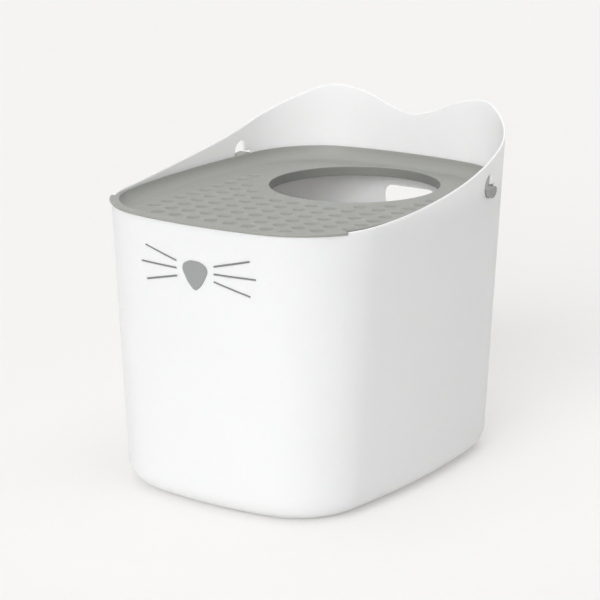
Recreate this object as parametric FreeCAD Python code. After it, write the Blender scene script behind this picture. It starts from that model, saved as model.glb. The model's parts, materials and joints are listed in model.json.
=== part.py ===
"""Top entry litter box: a deep tub whose rim rises into two ears at the back,
and a grey tray lid with a round entry hole that tips up on two moulded trunnions.

Millimetres, +Z up, front faces -Y. The origin is the middle of the footprint, on the floor.
"""
import FreeCAD
import Part
import math
import os

from FreeCAD import Vector

# ---------------------------------------------------------------- tub
rim_width = 416.2           # outside width at the front rim's height, at the widest point
rim_length = 498.1          # outside length at that height, on the centre line
front_rim_height = 373.4    # rim under the lid's lip
side_draft = 0.064          # outward lean per mm of height
front_draft = 0.022
back_draft = 0.029
corner_radius = 122.0       # plan radius of the four corners at the front rim's height
corner_draft = 0.05         # how fast that radius grows with height
front_bow = 5.8             # how far each edge bulges between its corners
side_bow = 8.9
back_bow = 5.4
base_fillet = 34.0          # round between the walls and the base, outside
foot_height = 36.0          # below this height the walls stand upright
wall = 3.0

ledge_step = 1.6            # the rim stands this much higher behind the ledge under the lip
ear_height = 93.6           # tops of the ears, above the front rim
ear_x = 122.0               # tops of the ears, from the centre line
ear_valley = 61.1           # dip between the ears, above the front rim
ear_foot = 66.6             # outer feet of the ears, above the front rim
ear_foot_inset = 25.0       # they lie this far inside the tub's widest point
ear_depth = 62.0            # the ears' crest reaches this far forward of the back

# ---------------------------------------------------------------- hand slot in the back wall
slot_width = 84.0
slot_height = 30.0
slot_corner = 12.0
slot_drop = 42.4            # top of the slot below the front rim

# ---------------------------------------------------------------- hinge: window and trunnion
trunnion_radius = 10.0
trunnion_flat = 3.5         # the flat lies this far above the trunnion's axis
trunnion_flat_tilt = 5.0    # degrees, up towards the back
trunnion_play = 0.3         # between the trunnion and the window's round seat
trunnion_seat_angle = 59.0  # degrees below level, towards the front, where it rests
trunnion_reach = 7.0        # how far it stands out of the tub
trunnion_edge = 0.8
window_freedom = 6.0        # window's radius over the trunnion's
window_from_back = 129.0    # window's centre forward of the back
window_rise = 6.6           # and above the front rim
keeper_back = 3.0           # the keeper corner stands this far behind the window's centre
keeper_up = 1.0             # and this far above it

# ---------------------------------------------------------------- lid
lid_gap = 4.0               # between the lid and the tub's inner face
lid_thickness = 2.5
tray_depth = 14.4           # level floor below the lid's front rim
bowl_radius = 18.5          # round between floor and rim, inside
lid_back_rise = 4.9         # the lid's rim at the back, over its front

lip_length = 69.0           # the lip's ends lie this far behind the front
lip_end_gap = 0.5           # between them and the step in the tub's rim
lip_wall = 2.2
lip_plate = 2.0             # thickness over the tub's front rim
lip_drop = 1.5              # how far the lip hangs below that rim
lip_clearance = 0.4         # outside the tub's front face
rim_clearance = 0.3         # between the tub's front rim and the lip above it
lip_edge = 1.0              # chamfer along the lip's upper edge

hole_radius = 115.0
hole_margin = 1.35          # from the hole's edge to the curve behind it
skirt_depth = 13.3
hole_edge = 1.0             # chamfer round the entry hole

dimple_pitch_across = 28.5
dimple_pitch_along = 27.5
dimple_radius = 7.5
dimple_depth = 1.3
dimple_rows = 10
dimple_front_margin = 74.5  # from the front to the first row
dimple_side_margin = 46.0   # from the tub's outline to the nearest dimple centre
dimple_hole_margin = 14.0   # from the hole's edge to the nearest dimple centre

# ---------------------------------------------------------------- face inlays in the front wall
inlay_recess = 0.6          # inlay face below the wall's outer face
inlay_thickness = 1.2
inlay_clearance = 0.1
nose_drop = 45.7            # top of the nose below the front rim
nose_height = 37.8
nose_width = 38.0
whisker_width = 2.3
# inner end and outer end, each as (from the centre line, below the front rim)
whisker_ends = {
    "upper": ((28.3, 49.6), (81.1, 36.6)),
    "middle": ((28.2, 58.9), (89.0, 58.7)),
    "lower": ((27.9, 68.5), (80.8, 81.2)),
}

# ---------------------------------------------------------------- worked out from those
front_y = -rim_length / 2
back_y = rim_length / 2
lip_end_y = front_y + lip_length
ear_junction_y = back_y - ear_depth
window_radius = trunnion_radius + window_freedom
window_y = back_y - window_from_back
window_z = front_rim_height + window_rise
lid_rim_front = front_rim_height + rim_clearance + lip_plate
floor_height = lid_rim_front - tray_depth
lid_inside_inset = wall + lid_gap + lid_thickness
hole_y = back_y - lid_inside_inset - bowl_radius - hole_margin - hole_radius
slot_top = front_rim_height - slot_drop
nose_top = front_rim_height - nose_drop

FAR = rim_width + rim_length                        # reaches past the part in every direction
TALL = front_rim_height + ear_height + base_fillet  # a little over the ears


# ---------------------------------------------------------------- outline of the tub
def circle_crossing(centre_a, radius_a, centre_b, radius_b, toward):
    """The crossing of two circles that lies nearer to the point toward."""
    span = centre_b - centre_a
    gap = span.Length
    along = (gap * gap + radius_a * radius_a - radius_b * radius_b) / (2.0 * gap)
    across = math.sqrt(max(radius_a * radius_a - along * along, 0.0))
    unit = Vector(span).normalize()
    side = Vector(-unit.y, unit.x, 0)
    found = [centre_a + unit * along + side * (across * sign) for sign in (1, -1)]
    return min(found, key=lambda point: (point - toward).Length)


def outline(height, inset=0.0, draft_height=None):
    """Closed plan outline of eight tangent arcs, offset inwards by inset.

    draft_height is the height whose plan is used, where it differs from where the wire lies."""
    level = height if draft_height is None else draft_height
    below = front_rim_height - level
    half_width = rim_width / 2 - below * side_draft
    front = front_y + below * front_draft
    back = back_y - below * back_draft
    radius = corner_radius - below * corner_draft
    middle = (front + back) / 2

    core_x = half_width - side_bow - radius
    core_y = (back - front) / 2 - radius - (front_bow + back_bow) / 2
    front_radius = (core_x ** 2 + front_bow ** 2) / (2 * front_bow) + radius
    back_radius = (core_x ** 2 + back_bow ** 2) / (2 * back_bow) + radius
    side_radius = (core_y ** 2 + side_bow ** 2) / (2 * side_bow) + radius
    front_centre = Vector(0, front + front_radius, 0)
    back_centre = Vector(0, back - back_radius, 0)
    side_centre = Vector(half_width - side_radius, middle, 0)

    front_corner = circle_crossing(front_centre, front_radius - radius, side_centre,
                                   side_radius - radius, Vector(core_x, front + radius, 0))
    back_corner = circle_crossing(back_centre, back_radius - radius, side_centre,
                                  side_radius - radius, Vector(core_x, back - radius, 0))

    def reach(centre, through, distance):
        return centre + (through - centre).normalize() * distance

    right = [
        reach(front_centre, front_corner, front_radius - inset),
        None,
        reach(side_centre, front_corner, side_radius - inset),
        Vector(half_width - inset, middle, 0),
        reach(side_centre, back_corner, side_radius - inset),
        None,
        reach(back_centre, back_corner, back_radius - inset),
    ]
    right[1] = reach(front_corner, (right[0] + right[2]) / 2, radius - inset)
    right[5] = reach(back_corner, (right[4] + right[6]) / 2, radius - inset)
    left = [Vector(-point.x, point.y, 0) for point in reversed(right)]
    points = [Vector(0, front + inset, 0)] + right + [Vector(0, back - inset, 0)] + left
    lifted = [Vector(point.x, point.y, height) for point in points]
    # lifted[0] is the front's middle; arcs run from each tangent point to the next
    starts = [15, 1, 3, 5, 7, 9, 11, 13]
    edges = []
    for start in starts:
        first, middle_point, last = [lifted[(start + step) % 16] for step in range(3)]
        edges.append(Part.Arc(first, middle_point, last).toShape())
    return Part.Wire(edges)


def drafted_block(inset, bottom):
    """Solid that follows the tub's walls from bottom up, offset inwards by inset."""
    return Part.makeLoft([outline(bottom, inset), outline(TALL, inset)], True, True)


def straight_block(inset, bottom, top, draft_height=front_rim_height):
    """Upright prism on the tub's plan at draft_height."""
    face = Part.Face(outline(bottom, inset, draft_height))
    return face.extrude(Vector(0, 0, top - bottom))


def level_edges(solid, height):
    """Edges that lie in the level plane at this height."""
    return [edge for edge in solid.Edges
            if abs(edge.BoundBox.ZMin - height) < 1e-4 and abs(edge.BoundBox.ZMax - height) < 1e-4]


def rounded_block(inset):
    """The tub's whole form, offset inwards by inset: an upright foot with a round bottom edge,
    and drafted walls above it."""
    foot = straight_block(inset, inset, foot_height, foot_height)
    foot = foot.makeFillet(base_fillet - inset, level_edges(foot, inset))
    return foot.fuse(drafted_block(inset, foot_height))


def spline_edge(points):
    curve = Part.BSplineCurve()
    curve.interpolate(points)
    return curve.toShape()


def face_from(edges, corners):
    """Face bounded by a chain of edges, closed by straight lines through corners."""
    chain = [edges[-1].lastVertex(True).Point] + corners + [edges[0].firstVertex(True).Point]
    lines = [Part.makeLine(start, end) for start, end in zip(chain[:-1], chain[1:])]
    return Part.Face(Part.Wire(edges + lines))


# ---------------------------------------------------------------- tub
def side_rim_points():
    """The side rim's rise, from the lip's end to the ears, as (y, height)."""
    low = front_rim_height + ledge_step
    rise = ear_foot - ledge_step
    span = ear_junction_y - lip_end_y
    shares = [(0.0, 0.0), (0.19, 0.045), (0.405, 0.165), (0.6, 0.325),
              (0.77, 0.53), (0.9, 0.77), (1.0, 1.0)]
    return [(lip_end_y + span * along, low + rise * up) for along, up in shares]


def ear_points():
    """Right half of the back rim, from the valley out to the junction, as (x, height)."""
    top = front_rim_height + ear_height
    valley = front_rim_height + ear_valley
    rise = ear_height - ear_valley
    drop = ear_height - ear_foot
    inner = [(0.0, 0.0), (0.246, 0.2), (0.4, 0.43), (0.566, 0.69), (0.746, 0.877), (1.0, 1.0)]
    outer = [(0.23, 0.09), (0.46, 0.31), (0.754, 0.65), (1.0, 1.0)]
    half = rim_width / 2 - ear_x - ear_foot_inset
    points = [(ear_x * along, valley + rise * up) for along, up in inner]
    points += [(ear_x + half * along, top - drop * down) for along, down in outer]
    return points


def rim_keeper():
    """Everything below the rim: the tub's walls are cut to this."""
    low = -base_fillet
    foot = front_rim_height + ear_foot
    rise = spline_edge([Vector(-FAR, y, z) for y, z in side_rim_points()])
    ledge = [Vector(-FAR, ear_junction_y, low), Vector(-FAR, -FAR, low),
             Vector(-FAR, -FAR, front_rim_height), Vector(-FAR, lip_end_y, front_rim_height)]
    sides = face_from([rise], ledge).extrude(Vector(2 * FAR, 0, 0))

    right = ear_points()
    left = [(-x, z) for x, z in reversed(right[1:])]
    crest = spline_edge([Vector(x, ear_junction_y, z) for x, z in left + right])
    shoulder = [Vector(FAR, ear_junction_y, foot), Vector(FAR, ear_junction_y, low),
                Vector(-FAR, ear_junction_y, low), Vector(-FAR, ear_junction_y, foot)]
    ears = face_from([crest], shoulder).extrude(Vector(0, FAR, 0))
    return sides.fuse(ears)


def hand_slot():
    box = Part.makeBox(slot_width, FAR, slot_height,
                       Vector(-slot_width / 2, 0, slot_top - slot_height))
    long_edges = [edge for edge in box.Edges if abs(edge.tangentAt(edge.FirstParameter).y) > 0.99]
    return box.makeFillet(slot_corner, long_edges)


def hinge_windows():
    """Three-quarter round windows: a full disc less the keeper quadrant, up and to the back."""
    centre = Vector(-FAR, window_y, window_z)
    disc = Part.makeCylinder(window_radius, 2 * FAR, centre, Vector(1, 0, 0))
    keeper = Part.makeBox(2 * FAR, 2 * window_radius, 2 * window_radius,
                          centre + Vector(0, keeper_back, keeper_up))
    return disc.cut(keeper)


def nose_prism(shrink):
    """Rounded triangle, point down."""
    half = nose_width / 2 - shrink
    top = nose_top - shrink
    height = nose_height - 2 * shrink
    shares = [(0.35, 0.012), (0.68, 0.075), (0.92, 0.17), (1.0, 0.3),
              (0.93, 0.44), (0.6, 0.745), (0.26, 0.93)]
    right = [Vector(half * across, -FAR, top - height * down) for across, down in shares]
    left = [Vector(-point.x, -FAR, point.z) for point in reversed(right)]
    points = [Vector(0, -FAR, top)] + right + [Vector(0, -FAR, top - height)] + left
    curve = Part.BSplineCurve()
    curve.interpolate(Points=points, PeriodicFlag=True)
    return Part.Face(Part.Wire(curve.toShape())).extrude(Vector(0, FAR, 0))


def whisker_prism(side, ends, shrink):
    """Straight stroke with round ends, on one side of the nose."""
    inner, outer = [Vector(side * x, -FAR, front_rim_height - drop) for x, drop in ends]
    half = whisker_width / 2 - shrink
    along = (outer - inner).normalize()
    across = Vector(-along.z, 0, along.x) * half
    start, end = inner + along * whisker_width / 2, outer - along * whisker_width / 2
    edges = [
        Part.makeLine(start + across, end + across),
        Part.Arc(end + across, end + along * half, end - across).toShape(),
        Part.makeLine(end - across, start - across),
        Part.Arc(start - across, start - along * half, start + across).toShape(),
    ]
    return Part.Face(Part.Wire(edges)).extrude(Vector(0, FAR, 0))


def face_prisms(shrink):
    """Every inlay's outline, run back through the front wall, by node name."""
    prisms = {"nose_inlay": nose_prism(shrink)}
    for side, side_name in ((-1, "left"), (1, "right")):
        for name, ends in whisker_ends.items():
            prisms["whisker_" + side_name + "_" + name] = whisker_prism(side, ends, shrink)
    return prisms


def inlays():
    outer = drafted_block(inlay_recess, foot_height)
    inner = drafted_block(inlay_recess + inlay_thickness, foot_height)
    band = outer.cut(inner)
    return {name: prism.common(band) for name, prism in face_prisms(inlay_clearance).items()}


def make_tub():
    tub = rounded_block(0.0).cut(rounded_block(wall))
    tub = tub.common(rim_keeper())
    tub = tub.cut(hand_slot()).cut(hinge_windows())
    recess_floor = drafted_block(inlay_recess + inlay_thickness, foot_height)
    for prism in face_prisms(0.0).values():
        tub = tub.cut(prism.cut(recess_floor))
    return tub


# ---------------------------------------------------------------- lid
def tray_solid(grow):
    """The space inside the tray, or, grown by the thickness, the tray's outside.

    A level floor that curves up into the rim all round."""
    floor = floor_height - grow
    block = straight_block(lid_inside_inset - grow, floor, TALL)
    return block.makeFillet(bowl_radius + grow, level_edges(block, floor))


def below_lid_rim():
    """Everything below the lid's rim: level as far back as the lip, then a slow arc up to the back."""
    run = back_y - lip_end_y
    arc_radius = (run ** 2 + lid_back_rise ** 2) / (2 * lid_back_rise)
    middle_rise = arc_radius - math.sqrt(arc_radius ** 2 - run ** 2 / 4)
    rise = Part.Arc(Vector(-FAR, lip_end_y, lid_rim_front),
                    Vector(-FAR, lip_end_y + run / 2, lid_rim_front + middle_rise),
                    Vector(-FAR, back_y, lid_rim_front + lid_back_rise)).toShape()
    close = [Vector(-FAR, back_y, 0), Vector(-FAR, -FAR, 0), Vector(-FAR, -FAR, lid_rim_front)]
    return face_from([rise], close).extrude(Vector(2 * FAR, 0, 0))


def lip():
    """Ledge that hooks over the tub's front rim, from just behind one front corner to the other."""
    outside = lip_clearance + lip_wall
    lip_bottom = front_rim_height - lip_drop
    plate_bottom = front_rim_height + rim_clearance
    rim = straight_block(-outside, lip_bottom, lid_rim_front)
    rim = rim.makeChamfer(lip_edge, level_edges(rim, lid_rim_front))
    channel = straight_block(-lip_clearance, lip_bottom, plate_bottom)
    inside = straight_block(lid_inside_inset, lip_bottom, lid_rim_front)
    behind = Part.makeBox(2 * FAR, 2 * FAR, 2 * FAR, Vector(-FAR, lip_end_y - lip_end_gap, 0))
    return rim.cut(channel).cut(inside).cut(behind)


def trunnion_axis():
    """Where the trunnion's axis lies when it rests in the window's round seat, as (y, z)."""
    offset = window_radius - trunnion_radius - trunnion_play
    turn = math.radians(trunnion_seat_angle)
    return window_y - offset * math.cos(turn), window_z - offset * math.sin(turn)


def trunnions():
    """D-section stub on each side of the lid, flat side up, through the tub's windows."""
    axis_y, axis_z = trunnion_axis()
    tub_side = rim_width / 2 - side_bow * (axis_y / (back_y - corner_radius)) ** 2
    end = tub_side + trunnion_reach
    start = tub_side - wall - lid_gap - bowl_radius
    pair = []
    for side in (-1, 1):
        base = Vector(side * start, axis_y, axis_z)
        stub = Part.makeCylinder(trunnion_radius, end - start, base, Vector(side, 0, 0))
        outer_rims = [edge for edge in stub.Edges
                      if abs(edge.BoundBox.XMin - edge.BoundBox.XMax) < 1e-4
                      and abs(edge.CenterOfMass.x - side * end) < 1e-3]
        stub = stub.makeChamfer(trunnion_edge, outer_rims)
        flat = Part.makeBox(2 * FAR, 4 * trunnion_radius, 2 * trunnion_radius,
                            Vector(-FAR, axis_y - 2 * trunnion_radius, axis_z + trunnion_flat))
        flat.rotate(Vector(0, axis_y, axis_z), Vector(1, 0, 0), trunnion_flat_tilt)
        pair.append(stub.cut(flat))
    return pair


def dimple_centres():
    """Square pattern over the floor, clear of the curved edge and of the entry hole."""
    inner_field = Part.Face(outline(0.0, dimple_side_margin, front_rim_height))
    centres = []
    across = int(rim_width / 2 / dimple_pitch_across)
    for column in range(-across, across + 1):
        for row in range(dimple_rows):
            x = column * dimple_pitch_across
            y = front_y + dimple_front_margin + row * dimple_pitch_along
            clear = math.hypot(x, y - hole_y) > hole_radius + dimple_hole_margin
            if clear and inner_field.isInside(Vector(x, y, 0), 1e-6, True):
                centres.append((x, y))
    return centres


def dimples():
    ball_radius = (dimple_radius ** 2 + dimple_depth ** 2) / (2 * dimple_depth)
    balls = []
    for x, y in dimple_centres():
        lift = ball_radius - dimple_depth
        balls.append(Part.makeSphere(ball_radius, Vector(x, y, floor_height + lift), Vector(1, 0, 0)))
    return balls


def make_lid():
    inside = tray_solid(0.0)
    tray = tray_solid(lid_thickness).common(below_lid_rim())
    skirt_bottom = floor_height - skirt_depth
    skirt = Part.makeCylinder(hole_radius + lid_thickness, skirt_depth, Vector(0, hole_y, skirt_bottom))
    lid = tray.fuse([skirt, lip()] + trunnions())
    lid = lid.cut(inside)
    hole = Part.makeCylinder(hole_radius, TALL, Vector(0, hole_y, 0))
    lid = lid.cut(hole)
    hole_edges = [edge for edge in lid.Edges
                  if abs(edge.BoundBox.ZMin - floor_height) < 1e-3
                  and abs(edge.BoundBox.ZMax - floor_height) < 1e-3
                  and isinstance(edge.Curve, Part.Circle)
                  and abs(edge.Curve.Radius - hole_radius) < 1e-3]
    lid = lid.makeChamfer(hole_edge, hole_edges)
    return lid.cut(dimples())


# ---------------------------------------------------------------- write the pieces
def footprint_shift(shapes):
    """Move that puts the middle of the whole part's length on the origin."""
    box = Part.makeCompound(shapes).optimalBoundingBox(False, False)
    return Vector(0, -(box.YMin + box.YMax) / 2, 0)


def main():
    pieces = {"tub": make_tub(), "lid": make_lid()}
    pieces.update(inlays())
    shift = footprint_shift(list(pieces.values()))
    os.makedirs("parts", exist_ok=True)
    for name, shape in pieces.items():
        shape.translate(shift)
        solids = shape.Solids
        print(name, "solids", len(solids), "valid", shape.isValid(), "volume %.0f" % shape.Volume)
        shape.exportStep("parts/" + name + ".step")
    axis_y, axis_z = trunnion_axis()
    print("shift %.4f" % shift.y, "hinge axis y %.4f z %.4f" % (axis_y + shift.y, axis_z))
    print("dimples", len(dimple_centres()))


main()
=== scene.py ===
"""Top entry litter box: a white moulded tub that rises into two ears at the back, and a grey
tray lid with a round entry hole that tips up on two stub trunnions.

Metres, +Z up, front faces -Y. The shapes follow the solids' own sizes, and add the moulded
rounds, the soft dimples and the finishes.
"""

import bisect
import json
import math

import bmesh
import bpy
from mathutils import Matrix, Quaternion, Vector
from mathutils.geometry import delaunay_2d_cdt


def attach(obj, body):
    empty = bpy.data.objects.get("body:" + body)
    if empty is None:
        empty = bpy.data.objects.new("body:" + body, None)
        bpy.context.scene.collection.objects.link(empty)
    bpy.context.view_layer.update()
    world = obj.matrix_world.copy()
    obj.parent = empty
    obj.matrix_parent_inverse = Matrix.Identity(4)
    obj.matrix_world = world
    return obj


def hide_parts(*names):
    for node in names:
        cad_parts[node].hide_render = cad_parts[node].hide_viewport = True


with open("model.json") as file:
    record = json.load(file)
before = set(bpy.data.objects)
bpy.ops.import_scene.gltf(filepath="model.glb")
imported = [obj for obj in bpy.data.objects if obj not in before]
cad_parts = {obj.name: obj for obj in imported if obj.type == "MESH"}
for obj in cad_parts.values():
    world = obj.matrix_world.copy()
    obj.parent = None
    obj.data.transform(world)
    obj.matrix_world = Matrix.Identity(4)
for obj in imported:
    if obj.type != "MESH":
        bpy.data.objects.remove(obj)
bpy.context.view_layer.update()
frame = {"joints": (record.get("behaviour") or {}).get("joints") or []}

# ---------------------------------------------------------------- tub
rim_width = 0.4162
rim_length = 0.4981
front_rim_height = 0.3734
side_draft = 0.064
front_draft = 0.022
back_draft = 0.029
corner_radius = 0.122
corner_draft = 0.05
front_bow = 0.0058
side_bow = 0.0089
back_bow = 0.0054
base_fillet = 0.034
foot_height = 0.036
wall = 0.003
rim_round = 0.0012          # moulded round along both edges of the tub's rim

ledge_step = 0.0016
ledge_ramp = 0.0003         # the step in the rim leans back by this much
ear_height = 0.0936
ear_x = 0.122
ear_valley = 0.0611
ear_foot = 0.0666
ear_foot_inset = 0.025
ear_depth = 0.062

slot_width = 0.084
slot_height = 0.030
slot_corner = 0.012
slot_drop = 0.0424
slot_round = 0.0009
slot_cut_clear = 0.004      # the slot's cutter starts this far outside the curved wall

# ---------------------------------------------------------------- hinge
trunnion_radius = 0.010
trunnion_flat = 0.0035
trunnion_flat_tilt = math.radians(5.0)
trunnion_play = 0.0003
trunnion_seat_angle = math.radians(59.0)
trunnion_reach = 0.007
trunnion_round = 0.0007
trunnion_corner = 0.0008    # the flat stops this far short of the round on each side
trunnion_ease = math.radians(4)
window_freedom = 0.006
window_from_back = 0.129
window_rise = 0.0066
window_round = 0.0005
keeper_back = 0.003
keeper_up = 0.001

# ---------------------------------------------------------------- lid
lid_gap = 0.004
lid_thickness = 0.0025
tray_depth = 0.0144
bowl_radius = 0.0185
lid_back_rise = 0.0049

lip_length = 0.069
lip_end_gap = 0.0005
lip_end_depth = 0.005       # this far in from the wall's face, the lip ends at its full length
lip_wall = 0.0021
lip_plate = 0.0020
lip_drop = 0.0015
lip_clearance = 0.0004
rim_clearance = 0.0003
lip_round = 0.0011
lip_hem_round = 0.0003
lip_face = 0.0006           # upright part of the lip's outer face, below its round
lip_undercut = 0.0015       # below that the face slants in under the lip
lip_end_round = 0.0012
lip_end_draw = 0.6          # share of that round by which the lip's outer face turns in

hole_radius = 0.115
hole_margin = 0.00135
skirt_depth = 0.0133
hole_round = 0.0010
skirt_round = 0.0008

dimple_pitch_across = 0.0285
dimple_pitch_along = 0.0275
dimple_radius = 0.0094
dimple_depth = 0.0021
dimple_roll = 0.0010        # soft shoulder outside each dimple's radius
dimple_softness = 0.00014
dimple_fullness = 5.0       # 2 is a round cap, more has a flatter bottom and steeper sides
dimple_rows = 10
dimple_front_margin = 0.0745
dimple_side_margin = 0.046
dimple_hole_margin = 0.014

# ---------------------------------------------------------------- face inlays
inlay_recess = 0.0009
inlay_thickness = 0.0004
inlay_clearance = 0.00025
inlay_round = 0.00025
recess_round = 0.00025
nose_drop = 0.0457
nose_height = 0.0378
nose_width = 0.0392
whisker_width = 0.0027
# inner end and outer end, each as (from the centre line, below the front rim)
whisker_ends = {
    "upper": ((0.0283, 0.0496), (0.0811, 0.0366)),
    "middle": ((0.0282, 0.0589), (0.0890, 0.0587)),
    "lower": ((0.0279, 0.0685), (0.0808, 0.0812)),
}

# ---------------------------------------------------------------- finishes
glow_reach = 0.006          # how far light wanders inside the white plastic
painted_shade_tone = 0.82          # how much the lid's grey is darkened below its floor: painted shade in its hollows
wall_sway = 0.00008         # slow unevenness of a moulded wall

# ---------------------------------------------------------------- floor, light and camera
floor_reach = 12.0
floor_colour = (0.905, 0.897, 0.881, 1)
backdrop_colour = (0.985, 0.977, 0.959, 1)
backdrop_share = 0.28       # how much of the floor's look is its plain colour; the rest takes shadow
sky_level = 0.42
# each light: toward it from the object, spread in degrees, strength
soft_lights = {"key": ((0.188, -0.886, 0.423), 42, 1.78), "top": ((0.0, 0.1, 1.0), 60, 0.98)}
view_azimuth = math.radians(35.26)
view_elevation = math.radians(15.148)
view_roll = math.radians(-0.227)
view_distance = 3.013095
view_shift_right = -0.013749
view_height = 0.222671
view_lens = 136.555
sensor_width = 36.0

# ---------------------------------------------------------------- how finely each form is divided
front_steps, side_steps, back_steps = 14, 26, 18
front_corner_steps = (10, 12)        # before and behind the lip's end
back_corner_steps = (12, 12)         # before and behind the ears' feet
fillet_steps, wall_steps, round_steps = 9, 20, 4
bowl_steps = 10
hole_steps = 144
slot_corner_steps, window_steps = 8, 44
whisker_side_steps, whisker_end_steps = 18, 8
nose_steps = 6              # between each two of the nose's points
dimple_sides, dimple_rings = 28, 12

# ---------------------------------------------------------------- worked out from those
front_y = -rim_length / 2
back_y = rim_length / 2
lip_end_y = front_y + lip_length
ear_junction_y = back_y - ear_depth
window_radius = trunnion_radius + window_freedom
window_y = back_y - window_from_back
window_z = front_rim_height + window_rise
plate_bottom = front_rim_height + rim_clearance
lid_rim_front = plate_bottom + lip_plate
floor_height = lid_rim_front - tray_depth
lid_inside_inset = wall + lid_gap + lid_thickness
bowl_inset = lid_inside_inset + bowl_radius
bowl_height = floor_height + bowl_radius
hole_y = back_y - bowl_inset - hole_margin - hole_radius

seat_offset = window_radius - trunnion_radius - trunnion_play
trunnion_y = window_y - seat_offset * math.cos(trunnion_seat_angle)
trunnion_z = window_z - seat_offset * math.sin(trunnion_seat_angle)

# the solids are centred on the whole part's length, which the hinge's place in the frame shows
hinge = frame["joints"][0]["pos_m"]
centring = Vector((0.0, hinge[1] - trunnion_y, hinge[2] - trunnion_z))


# ---------------------------------------------------------------- plan outline
def circle_crossing(centre_a, radius_a, centre_b, radius_b, toward):
    """The crossing of two circles that lies nearer to the point toward."""
    span = centre_b - centre_a
    gap = span.length
    along = (gap * gap + radius_a * radius_a - radius_b * radius_b) / (2 * gap)
    across = math.sqrt(max(radius_a * radius_a - along * along, 0.0))
    unit = span / gap
    side = Vector((-unit.y, unit.x))
    found = [centre_a + unit * along + side * (across * sign) for sign in (1, -1)]
    return min(found, key=lambda point: (point - toward).length)


class Plan:
    """The tub's plan at one height: tangent arcs, of which the right half is kept."""

    def __init__(self, level):
        below = front_rim_height - level
        half_width = rim_width / 2 - below * side_draft
        front = front_y + below * front_draft
        back = back_y - below * back_draft
        self.corner_radius = corner_radius - below * corner_draft
        self.middle = (front + back) / 2
        core_x = half_width - side_bow - self.corner_radius
        core_y = (back - front) / 2 - self.corner_radius - (front_bow + back_bow) / 2
        self.front_radius = (core_x ** 2 + front_bow ** 2) / (2 * front_bow) + self.corner_radius
        self.back_radius = (core_x ** 2 + back_bow ** 2) / (2 * back_bow) + self.corner_radius
        self.side_radius = (core_y ** 2 + side_bow ** 2) / (2 * side_bow) + self.corner_radius
        self.front_centre = Vector((0.0, front + self.front_radius))
        self.back_centre = Vector((0.0, back - self.back_radius))
        self.side_centre = Vector((half_width - self.side_radius, self.middle))
        self.front_corner = circle_crossing(
            self.front_centre, self.front_radius - self.corner_radius,
            self.side_centre, self.side_radius - self.corner_radius,
            Vector((core_x, front + self.corner_radius)))
        self.back_corner = circle_crossing(
            self.back_centre, self.back_radius - self.corner_radius,
            self.side_centre, self.side_radius - self.corner_radius,
            Vector((core_x, back - self.corner_radius)))

    def spans(self, inset):
        """Arcs from the front's middle round to the back's: centre, radius, first and last angle."""
        def toward(centre, point):
            return math.atan2(point.y - centre.y, point.x - centre.x)

        def at_y(centre, radius, y):
            return math.asin((y - centre.y) / radius)

        corner = self.corner_radius - inset
        front_turn = toward(self.front_centre, self.front_corner)
        side_turn = toward(self.side_centre, self.front_corner)
        side_end = toward(self.side_centre, self.back_corner)
        back_turn = toward(self.back_centre, self.back_corner)
        lip_turn = at_y(self.front_corner, self.corner_radius - lip_end_depth, lip_end_y)
        ledge_turn = lip_turn + ledge_ramp / self.corner_radius
        ear_turn = at_y(self.back_corner, corner, ear_junction_y)
        return [
            (self.front_centre, self.front_radius - inset, -math.pi / 2, front_turn),
            (self.front_corner, corner, front_turn, lip_turn),
            (self.front_corner, corner, lip_turn, ledge_turn),
            (self.front_corner, corner, ledge_turn, side_turn),
            (self.side_centre, self.side_radius - inset, side_turn, side_end),
            (self.back_corner, corner, side_end, ear_turn),
            (self.back_corner, corner, ear_turn, back_turn),
            (self.back_centre, self.back_radius - inset, back_turn, math.pi / 2),
        ]


plans = {}


def plan_at(level):
    key = round(level, 7)
    if key not in plans:
        plans[key] = Plan(level)
    return plans[key]


span_steps = [front_steps, front_corner_steps[0], 1, front_corner_steps[1],
              side_steps, back_corner_steps[0], back_corner_steps[1], back_steps]
lip_span = 2                # the span that holds the step behind the lip's end
right_stations = [(span, step / count) for span, count in enumerate(span_steps)
                  for step in range(count)] + [(len(span_steps) - 1, 1.0)]
# (side, span, share) all the way round, from the front's middle over the right
stations = [(1, span, share) for span, share in right_stations]
stations += [(-1, span, share) for span, share in reversed(right_stations[1:-1])]
lip_station = right_stations.index((lip_span, 0.0))


def plan_point(station, level, inset):
    """(x, y) of a station on the outline at this height, offset inwards by inset."""
    side, span, share = station
    centre, radius, first, last = plan_at(level).spans(inset)[span]
    angle = first + (last - first) * share
    return side * (centre.x + radius * math.cos(angle)), centre.y + radius * math.sin(angle)


def front_wall_y(x, z, inset):
    plan = plan_at(z)
    return plan.front_centre.y - math.sqrt((plan.front_radius - inset) ** 2 - x * x)


def back_wall_y(x, z, inset):
    plan = plan_at(z)
    return plan.back_centre.y + math.sqrt((plan.back_radius - inset) ** 2 - x * x)


def side_wall_x(y, z, inset):
    plan = plan_at(z)
    return plan.side_centre.x + math.sqrt((plan.side_radius - inset) ** 2 - (y - plan.middle) ** 2)


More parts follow.
